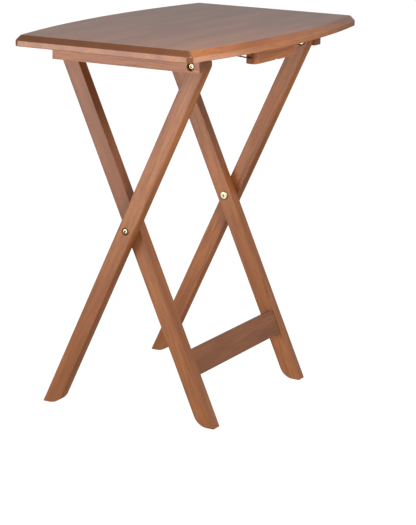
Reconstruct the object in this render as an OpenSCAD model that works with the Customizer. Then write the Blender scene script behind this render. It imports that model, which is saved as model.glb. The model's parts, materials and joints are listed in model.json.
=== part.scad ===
// Folding tray table: a bow-sided wooden top on two crossed pairs of flat wooden legs.
// Row frame: +Z up, X along the long side of the top, -Y towards the person who sits at it.
// The origin is on the floor under the middle of the top.

/* [Tabletop] */
// Length of the top along X
top_l = 600; // [560:1:640]
// Depth of the top at its two straight ends
end_d = 322; // [310:1:330]
// How far each long edge bows out at its middle
top_bow = 30; // [20:1:40]
// Thickness of the top
top_t = 18; // [16:0.5:20]
// Width of the chamfer along the upper edge
chamfer = 8.5; // [6:0.5:9.5]
// Radius of the four corners, seen from above
corner_r = 10; // [10:0.5:14]

/* [Stance] */
// Height of the upper surface above the floor
height = 643; // [630:1:660]
// Slant of every leg from upright
leg_angle = 24.5; // [23:0.1:26]
// Height of the pivots where the legs cross
pivot_z = 320; // [315:1:325]
// Distance of the crossing behind the middle of the top
pivot_y = 15; // [10:1:20]
// Free height between the round heads of the inner legs and the top
head_gap = 1; // [0.8:0.1:2]

/* [Wooden stock] */
// Width of the legs, also the height of the battens
stock_w = 28; // [26:1:30]
// Thickness of the legs and the battens
stock_t = 22; // [20:1:24]
// Radius that eases the heel of each foot
heel_r = 28; // [20:1:32]
// Outer face of each outer leg, measured from the middle of the table
outer_x = 194; // [190:1:198]
// Gap between an outer leg and the inner leg beside it
leg_gap = 1.5; // [1.2:0.1:2]
// Gap between an outer leg and the batten it hangs on
batten_gap = 2; // [1.6:0.1:2.5]
// Front end of the battens
batten_front_y = -132.5; // [-134:0.5:-131]
// Length of the battens
batten_l = 275; // [265:1:285]
// Height of the hinge axis above the underside of the battens
hinge_rise = 10; // [9:0.5:12]

/* [Cross members] */
// Width of the lower stretcher, along the slant of the inner legs
stretcher_w = 44; // [38:1:48]
// Thickness of the lower stretcher
stretcher_t = 16; // [14:1:18]
// Distance from the leg crossing down the leg to the middle of the stretcher
stretcher_drop = 244; // [235:1:250]
// How far the stretcher stands back from the front edge of the legs
stretcher_set_back = 1.5; // [1:0.5:3]
// Diameter of the upper rail
rail_d = 16; // [14:1:18]
// Dowel diameter at the ends of the stretcher
dowel_d = 8; // [6:1:8]
// Dowel length
dowel_l = 30; // [24:1:34]
// Distance of each dowel from the middle of the stretcher
dowel_offset = 12; // [10:1:14]

/* [Front block and bail] */
// Length of the block
block_l = 150; // [130:1:170]
// Front face of the block
block_front_y = -157; // [-160:1:-155]
// Radius of the upright edges of the block
block_r = 10; // [6:0.5:10.5]
// Radius of the notch under the middle of the block
notch_r = 5; // [4:0.5:6]
// Wire diameter of the bail
wire_d = 2.4; // [2:0.1:3]
// Reach of the bail behind its pivots, short of where the upper rail comes when the legs close
bail_reach = 35; // [28:1:37]
// Height of the bail pivots above the underside of the block
bail_rise = 10.5; // [9:0.5:12]
// Upward slant of the parked bail
bail_slant = 5; // [3:0.5:6]

/* [Hardware] */
// Thread diameter of the connector bolts
bolt_d = 6; // [5:0.5:6]
// Head diameter of the connector bolts
head_d = 11; // [10:0.5:12]
// Head height of the connector bolts
head_h = 3; // [2.5:0.1:3.2]
// Diameter of the sleeve nuts that the legs turn on
sleeve_d = 8; // [8:0.5:9]
// Flange diameter of the sleeve nuts
flange_d = 15; // [14:0.5:16]
// Flange thickness
flange_t = 2; // [1.5:0.1:2.2]
// Width across the flats of the sockets in heads and flanges
hex_af = 5; // [4:0.5:6]
// Radial clearance of a leg on its sleeve
running_gap = 0.05; // [0.02:0.01:0.09]
// Shank diameter of the wood screws
screw_d = 4; // [3.5:0.5:5]
// Head diameter of the wood screws
screw_head_d = 8; // [7:0.5:9]

/* [Hidden] */
$fn = 96;
LEFT = -1;
RIGHT = 1;
BACK = 1;
FRONT = -1;
// A cut runs this far past the face it leaves.
over = 1;
// Room across the flange of a sleeve nut in its recess.
nut_clearance = 0.6;

lean = tan(leg_angle);
underside_z = height - top_t;
batten_z = underside_z - stock_w;
hinge_z = batten_z + hinge_rise;
hinge_y = pivot_y - (hinge_z - pivot_z) * lean;
rail_z = underside_z - head_gap - stock_w / 2;
rail_y = pivot_y + (rail_z - pivot_z) * lean;

// Faces in X, from the outside in, for the right-hand side.
outer_in_x = outer_x - stock_t;
inner_out_x = outer_in_x - leg_gap;
inner_in_x = inner_out_x - stock_t;
batten_in_x = outer_x + batten_gap;
batten_out_x = batten_in_x + stock_t;

// The long edges are arcs with this radius, and these are the centre and the reach of an arc.
bow_r = (pow(top_l / 2, 2) + pow(top_bow, 2)) / (2 * top_bow);
top_reach = end_d / 2 + top_bow;
bow_y = top_reach - bow_r;

// Centre of a rounded corner, and the direction from the arc's centre to it.
corner_x = top_l / 2 - corner_r;
corner_y = bow_y + sqrt(pow(bow_r - corner_r, 2) - pow(corner_x, 2));
corner_angle = atan2(corner_y - bow_y, corner_x);

// Depths of the recesses for bolt heads and nuts, and the air round a recessed head.
head_clearance = 1.6;
hinge_recess = 6;
pivot_recess = 3.5;
nut_recess = 3;
washer_gap = 0.4;
flange_gap = 0.4;
washer_d = 16;
hex_depth = 2.4;
sleeve_in_batten = 10;
bolt_in_sleeve = 14;
batten_screw_y = [-85, 10, 110];
block_screw_x = [-50, 50];
screw_l = 38;
screw_head_h = 3;
screw_bury = 4;
pin_l = 9;
bail_gap = 1.8;
block_t = stock_t;
bail_x = block_l / 2 + bail_gap + wire_d / 2;
bail_y = block_front_y + block_t / 2;
bail_z = batten_z + bail_rise;

// Turns a drawing of Y and Z into a board that starts at X = x and runs to larger X.
module board(x, t) {
    translate([x, 0, 0]) rotate([90, 0, 90]) linear_extrude(t) children();
}

// A rod along X from x0 to x1.
module rod_x(x0, x1, y, z, d) {
    translate([x0, y, z]) rotate([0, 90, 0]) cylinder(d = d, h = x1 - x0);
}

// A hexagon prism along X, for a socket.
module hex_x(x0, x1, y, z) {
    translate([x0, y, z]) rotate([0, 90, 0]) cylinder(d = hex_af / cos(30), h = x1 - x0, $fn = 6);
}

// Draws the right-hand piece, or its mirror image on the left.
module on_side(side) {
    mirror([side == LEFT ? 1 : 0, 0, 0]) children();
}

// ---- Tabletop ----

// Half the section of the top out to distance r: a flat edge below and a chamfer above.
module edge_section(r) {
    polygon([[0, 0], [r, 0], [r, top_t - chamfer], [r - chamfer, top_t], [0, top_t]]);
}

// A disc as thick as the top, with the edge that the whole top has.
module edged_disc(r, facets) {
    rotate_extrude($fn = facets) edge_section(r);
}

// The two straight ends, as a bar with the same edge, long enough to pass both bowed sides.
module end_bar() {
    rotate([90, 0, 0]) linear_extrude(2 * top_reach + 2 * over, center = true) {
        edge_section(top_l / 2);
        mirror([1, 0, 0]) edge_section(top_l / 2);
    }
}

// Draws something at the centre of each of the four rounded corners.
module at_corners() {
    for (flip_x = [0, 1]) for (flip_y = [0, 1])
        mirror([flip_x, 0, 0]) mirror([0, flip_y, 0]) translate([corner_x, corner_y, 0]) children();
}

// The wedge that a rounded corner takes up, with its point at the corner's centre.
module corner_wedge() {
    reach = 3 * corner_r;
    translate([0, 0, -over]) linear_extrude(top_t + 2 * over)
        polygon([[0, 0], [reach, 0], [reach, reach], [reach * cos(corner_angle), reach * sin(corner_angle)]]);
}

// The whole top with its underside at 0: the sharp-cornered shape, with each corner replaced.
module slab() {
    difference() {
        intersection() {
            end_bar();
            translate([0, bow_y, 0]) edged_disc(bow_r, 360);
            translate([0, -bow_y, 0]) edged_disc(bow_r, 360);
        }
        at_corners() corner_wedge();
    }
    at_corners() intersection() {
        corner_wedge();
        edged_disc(corner_r, 96);
    }
}

// Holes for screw shanks, up from the level where their heads stop.
module screw_bores(places) {
    for (p = places) translate([p[0], p[1], batten_z + screw_bury + screw_l]) mirror([0, 0, 1])
        cylinder(d = screw_d, h = screw_l);
}

function batten_screws_at() = [for (s = [LEFT, RIGHT]) for (y = batten_screw_y) [s * (batten_in_x + stock_t / 2), y]];
function block_screws_at() = [for (x = block_screw_x) [x, block_front_y + block_t / 2]];

module tabletop() {
    color("#a8683f") difference() {
        translate([0, 0, underside_z]) slab();
        screw_bores(concat(batten_screws_at(), block_screws_at()));
    }
}

// ---- Battens ----

module batten(side) {
    color("#a3643c") difference() {
        on_side(side) difference() {
            translate([batten_in_x, batten_front_y, batten_z]) cube([stock_t, batten_l, stock_w]);
            rod_x(batten_in_x - over, batten_out_x + over, hinge_y, hinge_z, bolt_d);
            rod_x(batten_in_x - over, batten_in_x + sleeve_in_batten, hinge_y, hinge_z, sleeve_d);
            rod_x(batten_out_x - hinge_recess, batten_out_x + over, hinge_y, hinge_z, head_d + head_clearance);
        }
        screw_bores(batten_screws_at());
        screw_heads(batten_screws_at(), over);
    }
}

module batten_left() { batten(LEFT); }
module batten_right() { batten(RIGHT); }

// Counterbores for screw heads when extra is positive, and the heads themselves at 0.
module screw_heads(places, extra) {
    for (p = places) translate([p[0], p[1], batten_z + screw_bury - screw_head_h])
        translate([0, 0, extra > 0 ? -screw_bury : 0])
            cylinder(d = screw_head_d + (extra > 0 ? 0.4 : 0), h = screw_head_h + (extra > 0 ? screw_bury : 0));
}

// A wood screw with a cross slot, driven up from below.
module wood_screws(places) {
    slot_w = 1;
    slot_l = 5;
    slot_d = 1.2;
    difference() {
        union() {
            screw_bores(places);
            screw_heads(places, 0);
        }
        for (p = places) translate([p[0], p[1], batten_z + screw_bury - screw_head_h]) for (turn = [0, 90])
            rotate([0, 0, turn]) translate([-slot_l / 2, -slot_w / 2, -over]) cube([slot_l, slot_w, slot_d + over]);
    }
}

module batten_screws() {
    color("#c8a24a") wood_screws(batten_screws_at());
}

// ---- Front block and bail ----

module block_outline() {
    inset_l = block_l - 2 * block_r;
    inset_t = block_t - 2 * block_r;
    square([inset_l, block_t], center = true);
    square([block_l, inset_t], center = true);
    for (sx = [-1, 1]) for (sy = [-1, 1])
        translate([sx * inset_l / 2, sy * inset_t / 2]) circle(block_r);
}

module front_block() {
    color("#9b5c36") difference() {
        translate([0, bail_y, batten_z]) linear_extrude(stock_w) block_outline();
        translate([0, block_front_y - over, batten_z - notch_r / 3]) rotate([-90, 0, 0])
            cylinder(r = notch_r, h = block_t + 2 * over);
        for (s = [LEFT, RIGHT]) on_side(s)
            rod_x(block_l / 2 - pin_l, block_l / 2 + over, bail_y, bail_z, wire_d + 2 * running_gap);
        screw_bores(block_screws_at());
        screw_heads(block_screws_at(), over);
    }
}

module block_screws() {
    color("#c8a24a") wood_screws(block_screws_at());
}

// A bent wire: two pins in the ends of the block, two arms and a bar across their far ends.
module catch_bail() {
    color("#6b5a3a") translate([0, bail_y, bail_z]) rotate([bail_slant, 0, 0]) {
        for (s = [LEFT, RIGHT]) on_side(s) {
            rod_x(block_l / 2 - pin_l + 1, bail_x, 0, 0, wire_d);
            translate([bail_x, 0, 0]) sphere(d = wire_d, $fn = 32);
            translate([bail_x, 0, 0]) rotate([-90, 0, 0]) cylinder(d = wire_d, h = bail_reach);
            translate([bail_x, bail_reach, 0]) sphere(d = wire_d, $fn = 32);
        }
        rod_x(-bail_x, bail_x, bail_reach, 0, wire_d);
    }
}

// ---- Legs ----

// Middle of a foot on the floor, for a leg whose foot is towards dir.
function foot_y(dir) = pivot_y + dir * pivot_z * lean;

// What the eased heel takes off a foot.
module heel_waste(dir) {
    run = heel_r / tan((90 + leg_angle) / 2);
    heel = [foot_y(dir) - dir * stock_w / 2 / cos(leg_angle), 0];
    centre = [heel[0] + dir * run, heel_r];
    up_leg = [heel[0] - dir * run * sin(leg_angle), run * cos(leg_angle)];
    difference() {
        polygon([centre, [centre[0], -over], heel + (heel - centre) * 0.3,
                 up_leg - [dir * cos(leg_angle), sin(leg_angle)] * over]);
        translate(centre) circle(heel_r);
    }
}

// Side view of a leg: a round head at head_z, a foot cut level with the floor and an eased heel.
module leg_side(dir, head_z) {
    head_y = pivot_y - dir * (head_z - pivot_z) * lean;
    run = head_z / cos(leg_angle) + stock_w;
    difference() {
        translate([head_y, head_z]) {
            circle(d = stock_w);
            rotate(dir * leg_angle) translate([-stock_w / 2, -run]) square([stock_w, run]);
        }
        translate([-top_l, -top_l]) square([2 * top_l, top_l]);
        heel_waste(dir);
    }
}

// An outer leg hangs on a hinge at the front of its batten, and its foot is at the back.
module outer_leg(side) {
    bore = sleeve_d + 2 * running_gap;
    color("#b0744a") on_side(side) difference() {
        board(outer_in_x, stock_t) leg_side(BACK, hinge_z);
        rod_x(outer_in_x - over, outer_x + over, hinge_y, hinge_z, bore);
        rod_x(outer_in_x - over, outer_in_x + nut_recess, hinge_y, hinge_z, flange_d + nut_clearance);
        rod_x(outer_in_x - over, outer_x + over, pivot_y, pivot_z, sleeve_d);
        rod_x(outer_x - pivot_recess, outer_x + over, pivot_y, pivot_z, head_d + head_clearance);
    }
}

module outer_leg_left() { outer_leg(LEFT); }
module outer_leg_right() { outer_leg(RIGHT); }

// A point on the inner legs, at a distance from the crossing towards the foot and off the centre line.
function on_inner(down, forward) = [
    pivot_y - down * sin(leg_angle) - forward * cos(leg_angle),
    pivot_z - down * cos(leg_angle) + forward * sin(leg_angle)
];

stretcher_forward = stock_w / 2 - stretcher_set_back - stretcher_t / 2;
function dowels_at() = [for (d = [-dowel_offset, dowel_offset]) on_inner(stretcher_drop + d, stretcher_forward)];

// Dowels at both ends of the stretcher, with or without extra length for their holes.
module dowel_rods(extra) {
    reach = dowel_l * 0.4;
    for (s = [LEFT, RIGHT]) on_side(s) for (p = dowels_at())
        rod_x(inner_in_x + reach - dowel_l - extra, inner_in_x + reach + extra, p[0], p[1], dowel_d);
}

// An inner leg stands with its foot at the front, and its head carries the upper rail at the back.
module inner_leg(side) {
    bore = sleeve_d + 2 * running_gap;
    color("#a86b43") difference() {
        on_side(side) difference() {
            board(inner_in_x, stock_t) leg_side(FRONT, rail_z);
            rod_x(inner_in_x - over, inner_out_x + over, pivot_y, pivot_z, bore);
            rod_x(inner_in_x - over, inner_out_x + over, rail_y, rail_z, rail_d);
        }
        dowel_rods(0);
    }
}

module inner_leg_left() { inner_leg(LEFT); }
module inner_leg_right() { inner_leg(RIGHT); }

// ---- Cross members ----

module lower_stretcher() {
    middle = on_inner(stretcher_drop, stretcher_forward);
    color("#9c5f39") difference() {
        translate([0, middle[0], middle[1]]) rotate([-leg_angle, 0, 0])
            cube([2 * inner_in_x, stretcher_t, stretcher_w], center = true);
        dowel_rods(0);
    }
}

module stretcher_dowels() {
    color("#d9b98c") dowel_rods(0);
}

module upper_rail() {
    color("#9c5f39") rod_x(-inner_out_x, inner_out_x, rail_y, rail_z, rail_d);
}

// ---- Hinge hardware, at the top of the outer legs ----

// A bolt head with its socket on the outer side, and the thread behind it.
module bolt(head_out_x, tip_x, y, z) {
    color("#c9a227") difference() {
        union() {
            rod_x(head_out_x - head_h, head_out_x, y, z, head_d);
            rod_x(tip_x, head_out_x - head_h + over, y, z, bolt_d);
        }
        hex_x(head_out_x - hex_depth, head_out_x + over, y, z);
    }
}

// A flange with a sleeve that runs outwards from it; the bolt screws into the sleeve.
module sleeve_nut(flange_in_x, sleeve_end_x, bolt_tip_x, y, z) {
    color("#c9a227") difference() {
        union() {
            rod_x(flange_in_x, flange_in_x + flange_t, y, z, flange_d);
            rod_x(flange_in_x + flange_t - over, sleeve_end_x, y, z, sleeve_d);
        }
        rod_x(bolt_tip_x, sleeve_end_x + over, y, z, bolt_d);
        hex_x(flange_in_x - over, flange_in_x + hex_depth, y, z);
    }
}

hinge_head_x = batten_out_x - hinge_recess + head_h;
hinge_sleeve_x = batten_in_x + sleeve_in_batten;
hinge_tip_x = hinge_sleeve_x - bolt_in_sleeve;
hinge_flange_x = outer_in_x + nut_recess - flange_t - flange_gap;

module hinge_bolt_left() { on_side(LEFT) bolt(hinge_head_x, hinge_tip_x, hinge_y, hinge_z); }
module hinge_bolt_right() { on_side(RIGHT) bolt(hinge_head_x, hinge_tip_x, hinge_y, hinge_z); }
module hinge_nut_left() { on_side(LEFT) sleeve_nut(hinge_flange_x, hinge_sleeve_x, hinge_tip_x, hinge_y, hinge_z); }
module hinge_nut_right() { on_side(RIGHT) sleeve_nut(hinge_flange_x, hinge_sleeve_x, hinge_tip_x, hinge_y, hinge_z); }

module washer(x0, x1, y, z) {
    bore = sleeve_d + 2 * running_gap;
    difference() {
        rod_x(x0, x1, y, z, washer_d);
        rod_x(x0 - over, x1 + over, y, z, bore);
    }
}

module hinge_washers() {
    color("#c9a227") for (s = [LEFT, RIGHT]) on_side(s)
        washer(outer_x, batten_in_x - washer_gap, hinge_y, hinge_z);
}

// ---- Pivot hardware, where the legs cross ----

pivot_head_x = outer_x - pivot_recess + head_h;
pivot_sleeve_x = outer_x - pivot_recess - head_h;
pivot_tip_x = pivot_sleeve_x - bolt_in_sleeve;
pivot_flange_x = inner_in_x - flange_gap - flange_t;

module pivot_bolt_left() { on_side(LEFT) bolt(pivot_head_x, pivot_tip_x, pivot_y, pivot_z); }
module pivot_bolt_right() { on_side(RIGHT) bolt(pivot_head_x, pivot_tip_x, pivot_y, pivot_z); }
module pivot_nut_left() { on_side(LEFT) sleeve_nut(pivot_flange_x, pivot_sleeve_x, pivot_tip_x, pivot_y, pivot_z); }
module pivot_nut_right() { on_side(RIGHT) sleeve_nut(pivot_flange_x, pivot_sleeve_x, pivot_tip_x, pivot_y, pivot_z); }

module pivot_washers() {
    color("#c9a227") for (s = [LEFT, RIGHT]) on_side(s)
        washer(inner_out_x + washer_gap, outer_in_x, pivot_y, pivot_z);
}

tabletop();
batten_left();
batten_right();
batten_screws();
front_block();
block_screws();
catch_bail();
outer_leg_left();
outer_leg_right();
inner_leg_left();
inner_leg_right();
lower_stretcher();
stretcher_dowels();
upper_rail();
hinge_bolt_left();
hinge_bolt_right();
hinge_nut_left();
hinge_nut_right();
hinge_washers();
pivot_bolt_left();
pivot_bolt_right();
pivot_nut_left();
pivot_nut_right();
pivot_washers();
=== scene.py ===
# %% [markdown]
# # A folding tray table
# The table is a slab top with two bowed sides, carried by two crossed pairs of flat legs. All its
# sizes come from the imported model, which loads first and stays where it is. This lesson gives that
# model its finish: eased wooden edges, stained and lacquered wood, brass bolts and a bent wire.

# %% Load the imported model
import json
import math

import bmesh
import bpy
from mathutils import Matrix, Vector

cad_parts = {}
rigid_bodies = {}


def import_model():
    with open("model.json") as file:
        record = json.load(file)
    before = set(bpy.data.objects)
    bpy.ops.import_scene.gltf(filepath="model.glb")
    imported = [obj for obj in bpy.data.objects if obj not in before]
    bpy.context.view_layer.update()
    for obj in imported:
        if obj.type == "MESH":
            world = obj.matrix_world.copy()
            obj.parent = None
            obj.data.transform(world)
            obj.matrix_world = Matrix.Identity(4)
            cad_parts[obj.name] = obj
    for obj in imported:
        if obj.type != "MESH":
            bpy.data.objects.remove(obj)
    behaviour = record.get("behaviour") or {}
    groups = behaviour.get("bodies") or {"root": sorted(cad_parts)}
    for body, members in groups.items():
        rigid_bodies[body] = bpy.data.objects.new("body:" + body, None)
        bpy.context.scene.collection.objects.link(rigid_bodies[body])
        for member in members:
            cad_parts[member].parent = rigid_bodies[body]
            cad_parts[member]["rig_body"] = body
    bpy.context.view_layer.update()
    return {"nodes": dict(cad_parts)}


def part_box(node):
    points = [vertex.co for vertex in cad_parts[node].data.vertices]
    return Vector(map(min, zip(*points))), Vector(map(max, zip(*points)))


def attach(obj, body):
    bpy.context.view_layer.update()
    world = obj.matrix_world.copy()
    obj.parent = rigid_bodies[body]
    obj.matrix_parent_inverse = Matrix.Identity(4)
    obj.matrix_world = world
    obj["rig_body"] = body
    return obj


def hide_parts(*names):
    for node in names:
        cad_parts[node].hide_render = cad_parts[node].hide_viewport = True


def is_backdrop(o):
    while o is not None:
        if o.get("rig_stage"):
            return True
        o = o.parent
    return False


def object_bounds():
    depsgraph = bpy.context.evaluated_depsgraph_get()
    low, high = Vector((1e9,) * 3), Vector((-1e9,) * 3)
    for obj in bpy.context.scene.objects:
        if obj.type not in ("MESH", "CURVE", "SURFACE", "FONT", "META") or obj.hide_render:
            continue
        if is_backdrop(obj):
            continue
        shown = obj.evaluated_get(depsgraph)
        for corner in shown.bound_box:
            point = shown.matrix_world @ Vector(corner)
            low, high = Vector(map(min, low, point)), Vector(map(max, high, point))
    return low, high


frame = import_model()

# %% [markdown]
# ## Camera
# A table looks right from a few metres away through a long lens, because then its far legs don't
# look much smaller than its near ones. The camera is placed by three angles: how far it stands
# round to the left, how far it looks down, and a small roll. It could also be aimed with a Track To
# constraint, but plain numbers survive when another view moves the camera.

# %% Place the camera
LENS_MM = 130.0
SENSOR_MM = 36.0
ROUND_LEFT, LOOK_DOWN, ROLL = (math.radians(a) for a in (-61.41, 14.16, 1.265))
STAND = Vector((-2.7888, -1.5556, 1.0357))
camera_data = bpy.data.cameras.new("camera")
camera_data.lens = LENS_MM
camera_data.sensor_width = SENSOR_MM
camera_data.clip_end = 100.0
camera = bpy.data.objects.new("camera", camera_data)
bpy.context.scene.collection.objects.link(camera)
# This points backwards, from what the camera looks at to the camera.
back = Vector((
    math.sin(ROUND_LEFT) * math.cos(LOOK_DOWN),
    -math.cos(ROUND_LEFT) * math.cos(LOOK_DOWN),
    math.sin(LOOK_DOWN),
))
aim = back.to_track_quat("Z", "Y").to_matrix().to_4x4()
camera.matrix_world = Matrix.Translation(STAND) @ aim @ Matrix.Rotation(ROLL, 4, "Z")
bpy.context.scene.camera = camera
print("camera stands", round(STAND.length, 2), "m from the origin, under the middle of the top")

# %% [markdown]
# ## Shader helpers
# A procedural material is mostly arithmetic, and arithmetic is easier to read as a line of Python
# than as boxes and wires. One class stands for a socket and turns + - * / into Math nodes. Another
# makes every other node. Node groups would also keep a tree short, but they hide their numbers.

# %% Shader maths helpers
def link_value(tree, socket, value):
    """Puts a number, a colour or another node's output on a socket."""
    if isinstance(value, Value):
        tree.links.new(value.output, socket)
    elif isinstance(value, (tuple, list)) and len(value) == 3 and socket.type == "RGBA":
        socket.default_value = (*value, 1.0)
    else:
        socket.default_value = value


class Value:
    """An output socket that adds Math nodes when it is used in a Python expression."""

    def __init__(self, paint, output):
        self.paint, self.output = paint, output

    def math(self, operation, *values):
        return self.paint.node("ShaderNodeMath", {"operation": operation}, dict(enumerate(values)))

    def __add__(self, other):
        return self.math("ADD", self, other)

    def __radd__(self, other):
        return self.math("ADD", other, self)

    def __sub__(self, other):
        return self.math("SUBTRACT", self, other)

    def __rsub__(self, other):
        return self.math("SUBTRACT", other, self)

    def __mul__(self, other):
        return self.math("MULTIPLY", self, other)

    def __rmul__(self, other):
        return self.math("MULTIPLY", other, self)

    def __truediv__(self, other):
        return self.math("DIVIDE", self, other)

    def unary(self, operation):
        """A Math operation on this value alone, such as SINE."""
        return self.paint.node("ShaderNodeMath", {"operation": operation}, {0: self})

    def largest(self, other):
        return self.math("MAXIMUM", self, other)

    def between(self, low, high):
        """0 below low, 1 above high, with a soft step between them."""
        return self.paint.node(
            "ShaderNodeMapRange", {"interpolation_type": "SMOOTHSTEP"},
            {"Value": self, "From Min": low, "From Max": high},
        )


class Paint:
    """A material, or the world, while its nodes are made."""

    def __init__(self, owner):
        owner.use_nodes = True
        self.owner, self.tree = owner, owner.node_tree
        self.tree.nodes.clear()

    def node(self, kind, settings=None, inputs=None, output=0):
        """Makes a node, sets it up, fills its sockets, and gives the output that was asked for."""
        made = self.tree.nodes.new(kind)
        for name, value in (settings or {}).items():
            setattr(made, name, value)
        for name, value in (inputs or {}).items():
            link_value(self.tree, made.inputs[name], value)
        return Value(self, made.outputs[output]) if made.outputs else None

    def blend(self, factor, first, second, how="MIX"):
        """Mixes two colours."""
        return self.node(
            "ShaderNodeMix", {"data_type": "RGBA", "blend_type": how},
            {0: factor, 6: first, 7: second}, output=2,
        )

    def dot(self, vector, direction):
        """How far a vector reaches in a direction."""
        return self.node(
            "ShaderNodeVectorMath", {"operation": "DOT_PRODUCT"},
            {0: vector, 1: tuple(direction)}, output="Value",
        )

    def stretch(self, vector, across, along):
        """Scales a place so that a pattern is drawn out along the grain, which is Z here."""
        return self.node(
            "ShaderNodeVectorMath", {"operation": "MULTIPLY"},
            {0: vector, 1: (across, across, along)},
        )

    def noise(self, vector, detail=2.0, roughness=0.5):
        return self.node(
            "ShaderNodeTexNoise", None,
            {"Vector": vector, "Scale": 1.0, "Detail": detail, "Roughness": roughness},
        )


# %% [markdown]
# ## Studio
# The table stands on a light table, a pale floor that glows evenly. Product studios use one because
# it fills the underside of things and swallows their shadows. Round it is a grey room that is
# brightest behind the table, near the horizon, and that makes the soft grey sheen on the lacquered
# top. The camera sees the room as plain white. A floor lit only by lamps could be as pale, but such
# lamps would also bleach everything that faces up.

# %% A grey room
HORIZON = (0.64, 0.64, 0.65)
BEHIND_CAMERA = (0.15, 0.15, 0.16)
OVERHEAD = (0.3, 0.3, 0.31)
BELOW = (0.12, 0.12, 0.12)
WHITE = (1.0, 0.995, 0.985)
away = Vector((-back.x, -back.y, 0)).normalized()
world = bpy.data.worlds.new("grey_room")
bpy.context.scene.world = world
room = Paint(world)
looking = room.node("ShaderNodeTexCoord", output="Generated")
height = room.node("ShaderNodeSeparateXYZ", None, {0: looking}, output="Z")
shade = room.blend(room.dot(looking, away).between(-0.1, 0.8), BEHIND_CAMERA, HORIZON)
shade = room.blend(height.between(0.05, 0.6), shade, OVERHEAD)
shade = room.blend(height.between(-0.12, 0.0), BELOW, shade)
# The camera itself sees a white wall, and everything else is lit by the grey room.
seen = room.node("ShaderNodeLightPath", output="Is Camera Ray")
shade = room.blend(seen, shade, WHITE)
light = room.node("ShaderNodeBackground", None, {"Color": shade, "Strength": 1.0})
room.node("ShaderNodeOutputWorld", None, {"Surface": light})
print("world:", world.name, "with", len(world.node_tree.nodes), "nodes")

# %% A glowing floor
FLOOR_RADIUS = 14.0
bpy.ops.object.select_all(action="DESELECT")
bpy.ops.mesh.primitive_circle_add(
    vertices=64, radius=FLOOR_RADIUS, fill_type="NGON", location=(0, 0, 0))
floor = bpy.context.object
floor.name = "floor"
floor_paint = Paint(bpy.data.materials.new("glowing_floor"))
glow = floor_paint.node(
    "ShaderNodeBsdfPrincipled", None,
    {"Base Color": (0.15, 0.15, 0.15), "Roughness": 0.9, "Specular IOR Level": 0.0,
     "Emission Color": WHITE, "Emission Strength": 1.0},
)
# The floor shows only its upper side, so the table can be looked at from underneath.
clear = floor_paint.node("ShaderNodeBsdfTransparent")
from_below = floor_paint.node("ShaderNodeNewGeometry", output="Backfacing")
one_sided = floor_paint.node("ShaderNodeMixShader", None, {0: from_below, 1: glow, 2: clear})
floor_paint.node("ShaderNodeOutputMaterial", None, {"Surface": one_sided})
floor.data.materials.append(floor_paint.owner)
# Glossy rays pass the floor and meet the dark part of the world, as behind a polarizing filter.
floor.visible_glossy = False
floor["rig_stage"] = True
print("floor:", round(floor.dimensions.x, 1), "m across")


# %% Soft lamps
def lamp(name, place, size, watts, target):
    """A square soft lamp that faces a point on the table and isn't seen itself."""
    data = bpy.data.lights.new(name, "AREA")
    data.size, data.energy = size, watts
    made = bpy.data.objects.new(name, data)
    bpy.context.scene.collection.objects.link(made)
    made.location = place
    made.rotation_euler = (Vector(place) - Vector(target)).to_track_quat("Z", "Y").to_euler()
    made.visible_camera = False
    print(name, watts, "W")


lamp("left_softbox", (-1.7, 0.9, 0.45), size=0.84, watts=18.0, target=(-0.2, 0.0, 0.6))
lamp("right_softbox", (0.8, -1.5, 0.3), size=0.36, watts=3.6, target=(-0.28, -0.15, 0.63))
lamp("front_softbox", (-0.5, -0.65, 1.0), size=0.3, watts=6.8, target=(-0.28, -0.16, 0.62))
bpy.context.scene.view_settings.view_transform = "Standard"

# %% [markdown]
# ## Stained wood
# The real table is a pale, fine-pored hardwood with a brown stain under a satin lacquer. Three
# things make stained wood look like wood: bands of growth that wander along the board, fine fibres
# with short dark pores between them, and end grain that drinks more stain. An image texture would
# repeat and would need unwrapping, so the pattern is made from noise in the board's coordinates,
# drawn out along its grain. Each board only needs to say which way its grain runs.

# %% Stains, and the way the grain runs
LEG_LEAN = math.radians(24.5)
GRAIN_X = (0.0, math.radians(-90), 0.0)
GRAIN_Y = (math.radians(90), 0.0, 0.0)
GRAIN_OUTER = (-LEG_LEAN, 0.0, 0.0)
GRAIN_INNER = (LEG_LEAN, 0.0, 0.0)
STAIN_LIGHT = (0.41, 0.147, 0.046)
STAIN_DEEP = (0.235, 0.073, 0.020)
STAIN_PORE = (0.08, 0.025, 0.008)
# Dark end colour: end grain that drinks stain, and on the top's end chamfers also painted shade.
END_STAIN_AND_SHADE = (0.12, 0.04, 0.014)
# Lighter colour on the eased edges: partly rubbed stain, partly a painted highlight.
STAIN_RUBBED_AND_HIGHLIGHT = (0.55, 0.27, 0.13)
# How closely each pattern is packed across the grain and along it, per metre.
BANDS = (24.0, 3.0)
RINGS = (22.0, 0.9)
FIBRES = (300.0, 16.0)
PORES = (1500.0, 95.0)
RINGS_PER_SWELL = 55.0
BUMP_DEPTH = 0.0004
print("stains from", STAIN_LIGHT, "to", END_STAIN_AND_SHADE)


# %% The colour of a board
def one_stave_each(p, board, width):
    """Moves each stave of a glued-up board to another plank, and gives it a number 0 to 1."""
    number = (p.node("ShaderNodeSeparateXYZ", None, {0: board}, output="Y") / width).unary("FLOOR")
    tone = p.node("ShaderNodeTexWhiteNoise", {"noise_dimensions": "1D"}, {"W": number})
    apart = p.node("ShaderNodeCombineXYZ", None, {"X": number * 3.7, "Z": tone * 9.0})
    return p.node("ShaderNodeVectorMath", {"operation": "ADD"}, {0: board, 1: apart}), tone


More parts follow.
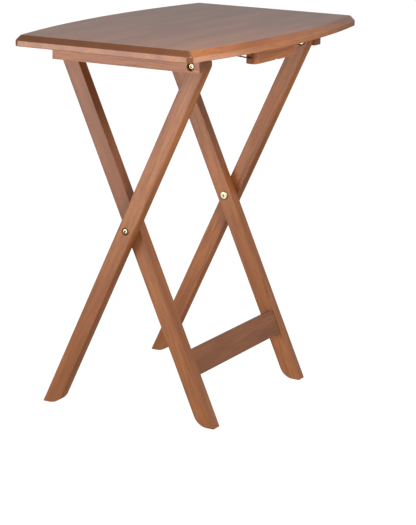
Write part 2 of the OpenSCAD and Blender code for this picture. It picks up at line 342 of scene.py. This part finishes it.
def growth_colour(p, rings, fibres, pores, board):
    """Light wood with deeper bands, growth rings, fibres and short dark pores."""
    colour = p.blend(p.noise(p.stretch(board, *BANDS)).between(0.3, 0.72), STAIN_LIGHT, STAIN_DEEP)
    colour = p.blend(rings * 0.16, colour, STAIN_DEEP)
    colour = p.blend(fibres.between(0.4, 0.68) * 0.75, colour, STAIN_DEEP)
    return p.blend(pores * 0.55, colour, STAIN_PORE)


# %% The lacquered wood
def stained_wood(name, grain, shift, staves=0.0, tone=1.0, edge_wear_and_highlight=0.18, end_chamfer_stain_and_shade=0.0, gloss=0.15):
    """Lacquered wood with its grain turned to lie along the board. shift picks another plank."""
    p = Paint(bpy.data.materials.new(name))
    board = p.node(
        "ShaderNodeMapping", {"vector_type": "POINT"},
        {"Vector": p.node("ShaderNodeTexCoord", output="Object"), "Rotation": grain,
         "Location": shift},
    )
    facing = p.node(
        "ShaderNodeMapping", {"vector_type": "NORMAL"},
        {"Vector": p.node("ShaderNodeTexCoord", output="Normal"), "Rotation": grain},
    )
    stave_tone = None
    if staves:
        # A wide top is glued up from narrow staves, and each stave comes from another plank.
        board, stave_tone = one_stave_each(p, board, staves)
    swell = p.noise(p.stretch(board, *RINGS), detail=1.0)
    rings = (swell * RINGS_PER_SWELL).unary("SINE") * 0.5 + 0.5
    fibres = p.noise(p.stretch(board, *FIBRES), detail=4.0, roughness=0.65)
    pores = p.noise(p.stretch(board, *PORES), detail=1.0).between(0.66, 0.74)
    colour = growth_colour(p, rings, fibres, pores, board)
    if stave_tone:
        colour = p.blend(stave_tone * 0.3, colour, STAIN_DEEP)
    sides = p.node("ShaderNodeVectorMath", {"operation": "ABSOLUTE"}, {0: facing})
    side_x, side_y, end = (
        p.node("ShaderNodeSeparateXYZ", None, {0: sides}, output=axis) for axis in ("X", "Y", "Z"))
    if not end_chamfer_stain_and_shade:
        colour = p.blend(end.between(0.55, 0.95) * 0.6, colour, END_STAIN_AND_SHADE)
    # Where two faces meet the colour is lighter: partly stain rubbed thin by sanding, partly a
    # painted highlight.
    eased = 1.0 - side_x.largest(side_y).largest(end)
    colour = p.blend(eased.between(0.05, 0.28) * edge_wear_and_highlight, colour, STAIN_RUBBED_AND_HIGHLIGHT)
    if end_chamfer_stain_and_shade:
        # The end chamfers and rounded corners are darker but the flat end faces are not: partly end
        # grain drinking stain, partly painted shade.
        chamfer_stain_and_shade_mask = end.between(0.2, 0.5) * (1.0 - end.between(0.93, 0.995))
        colour = p.blend(chamfer_stain_and_shade_mask * end_chamfer_stain_and_shade, colour, END_STAIN_AND_SHADE)
    colour = p.blend(1.0, colour, (tone, tone, tone), "MULTIPLY")
    roughness = 0.36 + fibres * 0.14 + end.between(0.6, 0.95) * 0.15
    relief = rings * 0.15 + fibres * 0.6 - pores * 0.8
    bump = p.node(
        "ShaderNodeBump", None, {"Strength": 0.25, "Distance": BUMP_DEPTH, "Height": relief})
    lacquer = p.node(
        "ShaderNodeBsdfPrincipled", None,
        {"Base Color": colour, "Roughness": roughness, "Normal": bump, "IOR": 1.45,
         "Specular IOR Level": 0.3 + 0.4 * gloss, "Coat Weight": gloss, "Coat Roughness": 0.3},
    )
    p.node("ShaderNodeOutputMaterial", None, {"Surface": lacquer})
    print(name, len(p.tree.nodes), "nodes")
    return p.owner


# %% [markdown]
# ## Wooden pieces
# A sawn board has its sharp edges rounded with sandpaper before it is stained, and those narrow
# rounded edges catch the light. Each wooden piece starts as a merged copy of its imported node, so
# its holes stay in place, and a Bevel modifier rounds every edge between two faces that meet
# sharply. The boards could be modelled afresh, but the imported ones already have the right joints.

# %% Helpers for finished pieces
SHARP = math.radians(35)
SMOOTH = math.radians(38)
MERGE = 0.000002
FLAT_ENOUGH = math.radians(0.4)


def only(obj):
    """Makes obj the one selected and active object."""
    bpy.ops.object.select_all(action="DESELECT")
    obj.select_set(True)
    bpy.context.view_layer.objects.active = obj


def finish_piece(obj, body, nodes, material):
    """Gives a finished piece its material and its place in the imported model."""
    obj.data.materials.clear()
    obj.data.materials.append(material)
    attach(obj, body)
    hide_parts(*nodes)
    return obj


def body_of_node(node):
    """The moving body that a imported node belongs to."""
    return frame["nodes"][node]["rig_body"]


def ease(obj, width, segments=3):
    """Rounds every sharp edge a little, and keeps flat faces flat under the smooth shading."""
    only(obj)
    bevel = obj.modifiers.new("eased", "BEVEL")
    bevel.limit_method, bevel.angle_limit = "ANGLE", SHARP
    bevel.width, bevel.segments, bevel.use_clamp_overlap = width, segments, False
    bpy.ops.object.modifier_apply(modifier=bevel.name)
    bpy.ops.object.shade_smooth_by_angle(angle=SMOOTH)
    flat = obj.modifiers.new("flat faces", "WEIGHTED_NORMAL")
    flat.keep_sharp = True
    bpy.ops.object.modifier_apply(modifier=flat.name)


def eased_board(node, name, width, material):
    """A merged copy of a packed wooden node, with its sharp edges rounded."""
    board = bpy.data.objects.new(name, frame["nodes"][node].data.copy())
    bpy.context.scene.collection.objects.link(board)
    only(board)
    bpy.ops.object.mode_set(mode="EDIT")
    bpy.ops.mesh.select_all(action="SELECT")
    bpy.ops.mesh.remove_doubles(threshold=MERGE)
    bpy.ops.mesh.dissolve_limited(angle_limit=FLAT_ENOUGH)
    bpy.ops.object.mode_set(mode="OBJECT")
    ease(board, width)
    finish_piece(board, body_of_node(node), [node], material)
    print(name, len(board.data.polygons), "faces")
    return board


# %% One wood for each kind of board
top_wood = stained_wood(
    "top_wood", GRAIN_X, (0.3, 0.1, 0.0), staves=0.052, edge_wear_and_highlight=0.0, end_chamfer_stain_and_shade=0.8, gloss=0.5)
# The tone makes the battens and the block lighter and the rails darker. This is painted light and
# painted shade for how the light falls on them.
batten_wood_painted_light = stained_wood("batten_wood_painted_light", GRAIN_Y, (0.0, 0.7, 0.4), tone=1.1)
rail_wood_painted_shade = stained_wood("rail_wood_painted_shade", GRAIN_X, (2.1, 1.3, 0.2), tone=0.72)
block_wood_painted_light = stained_wood("block_wood_painted_light", GRAIN_X, (3.3, 0.6, 1.9), tone=1.35)
outer_wood = stained_wood("outer_leg_wood", GRAIN_OUTER, (0.5, 2.2, 1.1), tone=0.87)
inner_wood = stained_wood("inner_leg_wood", GRAIN_INNER, (1.7, 0.4, 2.6), tone=0.88)

# %% Ease the edges of the boards
LEG_EASE = 0.0013
BATTEN_EASE = 0.0012
BLOCK_EASE = 0.0015
RAIL_EASE = 0.001
for side in ("left", "right"):
    for leg, wood in (("outer_leg", outer_wood), ("inner_leg", inner_wood)):
        eased_board(f"{leg}_{side}", f"{leg}_{side}_eased", LEG_EASE, wood)
    eased_board(
        f"batten_{side}", f"batten_{side}_eased", BATTEN_EASE, batten_wood_painted_light)
eased_board("lower_stretcher", "stretcher_board", LEG_EASE, rail_wood_painted_shade)
eased_board("front_block", "front_block_eased", BLOCK_EASE, block_wood_painted_light)
eased_board("upper_rail", "upper_rail_eased", RAIL_EASE, rail_wood_painted_shade)

# %% [markdown]
# ## The top
# A bowed side is part of a very large circle, so the outline is cut out of one: a circle of that
# radius is bisected down to the back half of the top, its corner points are rounded, and a mirror
# gives the front half. Raising the outline by the board's thickness and cutting the upper edge away
# at 45 degrees makes the board. A grid bent with a curve would need far more faces for this arc.

# %% Cut the outline out of a large circle
TOUCHING = 0.000001
BOW = 0.030
CORNER = 0.0082
CHAMFER = 0.0085
TOP_EASE = 0.0009


def choose(kind, test):
    """Selects the points, edges or faces that pass a test, in edit mode, and nothing else."""
    bpy.ops.mesh.select_mode(type=kind)
    bpy.ops.mesh.select_all(action="DESELECT")
    mesh = bmesh.from_edit_mesh(bpy.context.object.data)
    parts = {"VERT": mesh.verts, "EDGE": mesh.edges, "FACE": mesh.faces}[kind]
    found = [part for part in parts if test(part)]
    for part in found:
        part.select_set(True)
    bmesh.update_edit_mesh(bpy.context.object.data)
    return len(found)


top_low, top_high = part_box("tabletop")
half_length = top_high.x
arc_radius = (half_length ** 2 + BOW ** 2) / (2 * BOW)
bpy.ops.object.select_all(action="DESELECT")
bpy.ops.mesh.primitive_circle_add(
    vertices=360, radius=arc_radius, fill_type="NGON",
    location=(0, top_high.y - arc_radius, top_low.z))
top_board = bpy.context.object
top_board.name = "top_board"
bpy.ops.object.transform_apply(location=True)
bpy.ops.object.mode_set(mode="EDIT")
right_end = ((half_length, 0, 0), (1, 0, 0))
left_end = ((-half_length, 0, 0), (-1, 0, 0))
middle = ((0, 0, 0), (0, -1, 0))
for point, outward in (right_end, left_end, middle):
    bpy.ops.mesh.select_all(action="SELECT")
    bpy.ops.mesh.bisect(plane_co=point, plane_no=outward, clear_outer=True)
corners = choose(
    "VERT", lambda v: abs(v.co.x) > half_length - 10 * TOUCHING and v.co.y > CORNER)
bpy.ops.mesh.bevel(offset=CORNER, segments=8, profile=0.5, affect="VERTICES")
bpy.ops.object.mode_set(mode="OBJECT")
print("arc radius", round(arc_radius, 3), "m, corners rounded:", corners)

# %% Mirror it, raise it and cut the chamfer
mirror = top_board.modifiers.new("front half", "MIRROR")
mirror.use_axis = (False, True, False)
mirror.merge_threshold = 0.00001
bpy.ops.object.modifier_apply(modifier=mirror.name)
bpy.ops.object.mode_set(mode="EDIT")
choose("EDGE", lambda e: all(abs(v.co.y) < TOUCHING for v in e.verts))
bpy.ops.mesh.dissolve_edges()
bpy.ops.mesh.select_all(action="SELECT")
thickness = top_high.z - top_low.z
bpy.ops.mesh.extrude_region_move(TRANSFORM_OT_translate={"value": (0, 0, thickness)})
rim = choose("EDGE", lambda e: all(v.co.z > top_high.z - TOUCHING for v in e.verts))
bpy.ops.mesh.bevel(offset=CHAMFER, segments=1, affect="EDGES")
bpy.ops.mesh.select_all(action="SELECT")
bpy.ops.mesh.normals_make_consistent(inside=False)
bpy.ops.object.mode_set(mode="OBJECT")
ease(top_board, TOP_EASE)
finish_piece(top_board, "top", ["tabletop"], top_wood)
print("rim edges cut away:", rim)
print("top board:", [round(c, 4) for c in top_board.dimensions], "m,",
      len(top_board.data.polygons), "faces")

# %% [markdown]
# ## Metal finishes
# The bolts are plated steel with a brass colour, bright where the light is mirrored and brown in
# their hollows. Metal needs little colour detail: what shows is the polish, so the roughness varies
# in fine turned lines and faint tarnish, and the colour only a little.

# %% Brass, zinc and dark wire
def plated_metal(name, colour, tarnish, polish):
    """Plated steel with clouds of tarnish. A lower polish number shines more."""
    p = Paint(bpy.data.materials.new(name))
    place = p.node("ShaderNodeTexCoord", output="Object")
    clouds = p.noise(p.stretch(place, 180.0, 180.0), detail=3.0)
    scratches = p.noise(p.stretch(place, 2600.0, 400.0), detail=2.0)
    shade = p.blend(clouds.between(0.45, 0.75) * 0.35, colour, tarnish)
    rough = polish + clouds * 0.12 + scratches * 0.08
    bump = p.node(
        "ShaderNodeBump", None, {"Strength": 0.08, "Distance": 0.0001, "Height": scratches})
    metal = p.node(
        "ShaderNodeBsdfPrincipled", None,
        {"Base Color": shade, "Metallic": 1.0, "Roughness": rough, "Normal": bump},
    )
    p.node("ShaderNodeOutputMaterial", None, {"Surface": metal})
    return p.owner


brass = plated_metal("plated_brass", (0.58, 0.53, 0.36), (0.24, 0.2, 0.1), 0.27)
zinc = plated_metal("yellow_zinc", (0.62, 0.52, 0.3), (0.3, 0.24, 0.12), 0.25)
wire_metal = plated_metal("dark_wire", (0.24, 0.19, 0.13), (0.1, 0.07, 0.04), 0.3)
raw_beech = stained_wood("raw_beech", GRAIN_X, (4.0, 0.2, 0.8), tone=2.2)


def coat(node, material):
    """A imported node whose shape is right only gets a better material."""
    packed = frame["nodes"][node]
    packed.data.materials.clear()
    packed.data.materials.append(material)


for node in ("hinge_washers", "pivot_washers"):
    coat(node, brass)
for node in ("batten_screws", "block_screws"):
    coat(node, zinc)
coat("stretcher_dowels", raw_beech)
print("coated: washers, screws and dowels")

# %% [markdown]
# ## Connector bolts
# The legs turn on bolts with low domed heads, which screw into sleeve nuts with a flange. Such
# pieces are turned on a lathe, so they are made like turned work: a disc is extruded along its
# axis, and the new face is scaled to the next diameter, step by step. A spun profile would do as
# well. The hexagon socket is cut last, with a Boolean modifier, because no lathe can turn it.

# %% A lathe and a cutter
MM = 0.001
ALONG_X = (0, math.radians(90), 0)
METAL_SMOOTH = math.radians(40)


def turned(name, steps, y, z):
    """A turned piece along X. Each step is a place along X and the radius there."""
    bpy.ops.object.select_all(action="DESELECT")
    x, radius = steps[0]
    bpy.ops.mesh.primitive_circle_add(
        vertices=48, radius=radius, fill_type="NGON", location=(x, y, z), rotation=ALONG_X)
    made = bpy.context.object
    made.name = name
    bpy.ops.object.transform_apply(location=True, rotation=True)
    bpy.ops.object.mode_set(mode="EDIT")
    bpy.ops.mesh.select_all(action="SELECT")
    for next_x, next_radius in steps[1:]:
        bpy.ops.mesh.extrude_region_move(TRANSFORM_OT_translate={"value": (next_x - x, 0, 0)})
        scale = next_radius / radius
        bpy.ops.transform.resize(value=(1, scale, scale), center_override=(next_x, y, z))
        x, radius = next_x, next_radius
    bpy.ops.mesh.select_all(action="SELECT")
    bpy.ops.mesh.remove_doubles(threshold=TOUCHING)
    bpy.ops.mesh.normals_make_consistent(inside=False)
    bpy.ops.object.mode_set(mode="OBJECT")
    return made


def cut(obj, sides, radius, x0, x1, y, z):
    """Cuts a hole along X with that many sides."""
    bpy.ops.object.select_all(action="DESELECT")
    bpy.ops.mesh.primitive_cylinder_add(
        vertices=sides, radius=radius, depth=abs(x1 - x0), location=((x0 + x1) / 2, y, z),
        rotation=ALONG_X)
    tool = bpy.context.object
    hole = obj.modifiers.new("hole", "BOOLEAN")
    hole.operation, hole.object, hole.solver = "DIFFERENCE", tool, "EXACT"
    only(obj)
    bpy.ops.object.modifier_apply(modifier=hole.name)
    bpy.data.objects.remove(tool)


def finish_metal(obj, node):
    """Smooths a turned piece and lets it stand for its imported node."""
    only(obj)
    bpy.ops.object.shade_smooth_by_angle(angle=METAL_SMOOTH)
    finish_piece(obj, body_of_node(node), [node], brass)
    print(obj.name, len(obj.data.polygons), "faces")


# %% Turn the bolts and the sleeve nuts
SOCKET_RADIUS = 2.5 * MM / math.cos(math.radians(30))
SOCKET_DEPTH = 2.4 * MM
HEAD_HEIGHT = 3 * MM
FLANGE_HEIGHT = 2 * MM
THREAD = 3 * MM
SLEEVE = 4 * MM
# Each pair is a height on the head or flange, and how much smaller its radius is there.
DOME = ((0.0, 0.3), (0.3, 0.0), (1.4, 0.0), (2.0, 0.25), (2.5, 0.8), (2.85, 1.6), (3.0, 2.4))
RIM = ((2.0, 0.3), (1.7, 0.0), (0.8, 0.0), (0.35, 0.3), (0.05, 1.1), (0.0, 2.2))


def bolt_for(node, out):
    """Turns the bolt of a node. Its head faces out, which is 1 to the right. Gives its tip too."""
    low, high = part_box(node)
    y, z = (low.y + high.y) / 2, (low.z + high.z) / 2
    tip, face = (low.x, high.x) if out > 0 else (high.x, low.x)
    head = (high.z - low.z) / 2
    under = face - out * HEAD_HEIGHT
    steps = [(tip, THREAD - 0.5 * MM), (tip + out * 0.6 * MM, THREAD), (under, THREAD)]
    steps += [(under + out * step * MM, head - short * MM) for step, short in DOME]
    bolt = turned(f"{node}_turned", steps, y, z)
    cut(bolt, 6, SOCKET_RADIUS, face - out * SOCKET_DEPTH, face + out * MM, y, z)
    finish_metal(bolt, node)
    return tip, y, z


def sleeve_nut_for(node, out, bolt_tip, y, z):
    """Turns the sleeve nut of a node, with a bore for the bolt and a socket in its flange."""
    low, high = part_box(node)
    end, face = (high.x, low.x) if out > 0 else (low.x, high.x)
    flange = (high.z - low.z) / 2
    steps = [(end, SLEEVE), (face + out * FLANGE_HEIGHT, SLEEVE)]
    steps += [(face + out * step * MM, flange - short * MM) for step, short in RIM]
    nut = turned(f"{node}_turned", steps, y, z)
    cut(nut, 48, THREAD, bolt_tip, end + out * MM, y, z)
    cut(nut, 6, SOCKET_RADIUS, face - out * MM, face + out * SOCKET_DEPTH, y, z)
    finish_metal(nut, node)


for joint in ("hinge", "pivot"):
    for side, out in (("left", -1), ("right", 1)):
        tip, y, z = bolt_for(f"{joint}_bolt_{side}", out)
        sleeve_nut_for(f"{joint}_nut_{side}", out, tip, y, z)

# %% [markdown]
# ## Bent wire bail
# The bail is one length of wire, bent twice on each side, with its ends in the block. Wire is bent
# round a peg, so its corners are arcs: the end face of the wire is extruded for the straight
# lengths and spun for the bends. A curve with a round bevel would do as well, but a spun mesh needs
# no conversion. The right half is made, and mirrored.

# %% Bend the bail
WIRE = 0.0012
BEND = 0.0035
PIN_DEPTH = 0.008
SLANT = math.radians(5)
WIRE_SMOOTH = math.radians(60)
# The spin operator turns clockwise about its axis for a positive angle.
QUARTER = math.radians(-90)
low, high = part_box("catch_bail")
pivot = Vector((0, low.y + WIRE, low.z + WIRE))
arm_x = high.x - WIRE
reach = (high.y - WIRE - pivot.y) / math.cos(SLANT)
pin_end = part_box("front_block")[1].x - PIN_DEPTH
bpy.ops.object.select_all(action="DESELECT")
bpy.ops.mesh.primitive_circle_add(
    vertices=16, radius=WIRE, fill_type="NGON", location=(pin_end, 0, 0), rotation=ALONG_X)
wire = bpy.context.object
wire.name = "bail_wire"
bpy.ops.object.transform_apply(location=True, rotation=True)
bpy.ops.object.mode_set(mode="EDIT")
bpy.ops.mesh.select_all(action="SELECT")
bend_x = arm_x - BEND
bpy.ops.mesh.extrude_region_move(TRANSFORM_OT_translate={"value": (bend_x - pin_end, 0, 0)})
bpy.ops.mesh.spin(steps=8, angle=QUARTER, center=(bend_x, BEND, 0), axis=(0, 0, 1))
bpy.ops.mesh.extrude_region_move(TRANSFORM_OT_translate={"value": (0, reach - 2 * BEND, 0)})
bpy.ops.mesh.spin(steps=8, angle=QUARTER, center=(bend_x, reach - BEND, 0), axis=(0, 0, 1))
bpy.ops.mesh.extrude_region_move(TRANSFORM_OT_translate={"value": (-bend_x, 0, 0)})
choose("FACE", lambda f: all(abs(v.co.x) < TOUCHING for v in f.verts))
bpy.ops.mesh.delete(type="FACE")
bpy.ops.mesh.select_all(action="SELECT")
bpy.ops.mesh.remove_doubles(threshold=TOUCHING)
bpy.ops.object.mode_set(mode="OBJECT")
print("half the wire:", len(wire.data.polygons), "faces")

# %% Mirror the bail and put it in the block
mirror = wire.modifiers.new("left half", "MIRROR")
bpy.ops.object.modifier_apply(modifier=mirror.name)
bpy.ops.object.mode_set(mode="EDIT")
bpy.ops.mesh.select_all(action="SELECT")
bpy.ops.mesh.normals_make_consistent(inside=False)
bpy.ops.object.mode_set(mode="OBJECT")
only(wire)
wire.location = pivot
wire.rotation_euler.x = SLANT
bpy.ops.object.transform_apply(location=True, rotation=True)
bpy.ops.object.shade_smooth_by_angle(angle=WIRE_SMOOTH)
finish_piece(wire, "bail", ["catch_bail"], wire_metal)
bpy.context.view_layer.update()
print("bail wire:", [round(c * 1000, 1) for c in wire.dimensions], "mm, packed:",
      [round(c * 1000, 1) for c in high - low], "mm")

# %% [markdown]
# ## Sizes
# The finish must not change the size of the table. The box round everything is measured once more
# and printed.

# %% Measure the sizes
low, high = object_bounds()
print("visual model:", [round(c, 4) for c in high - low], "m")
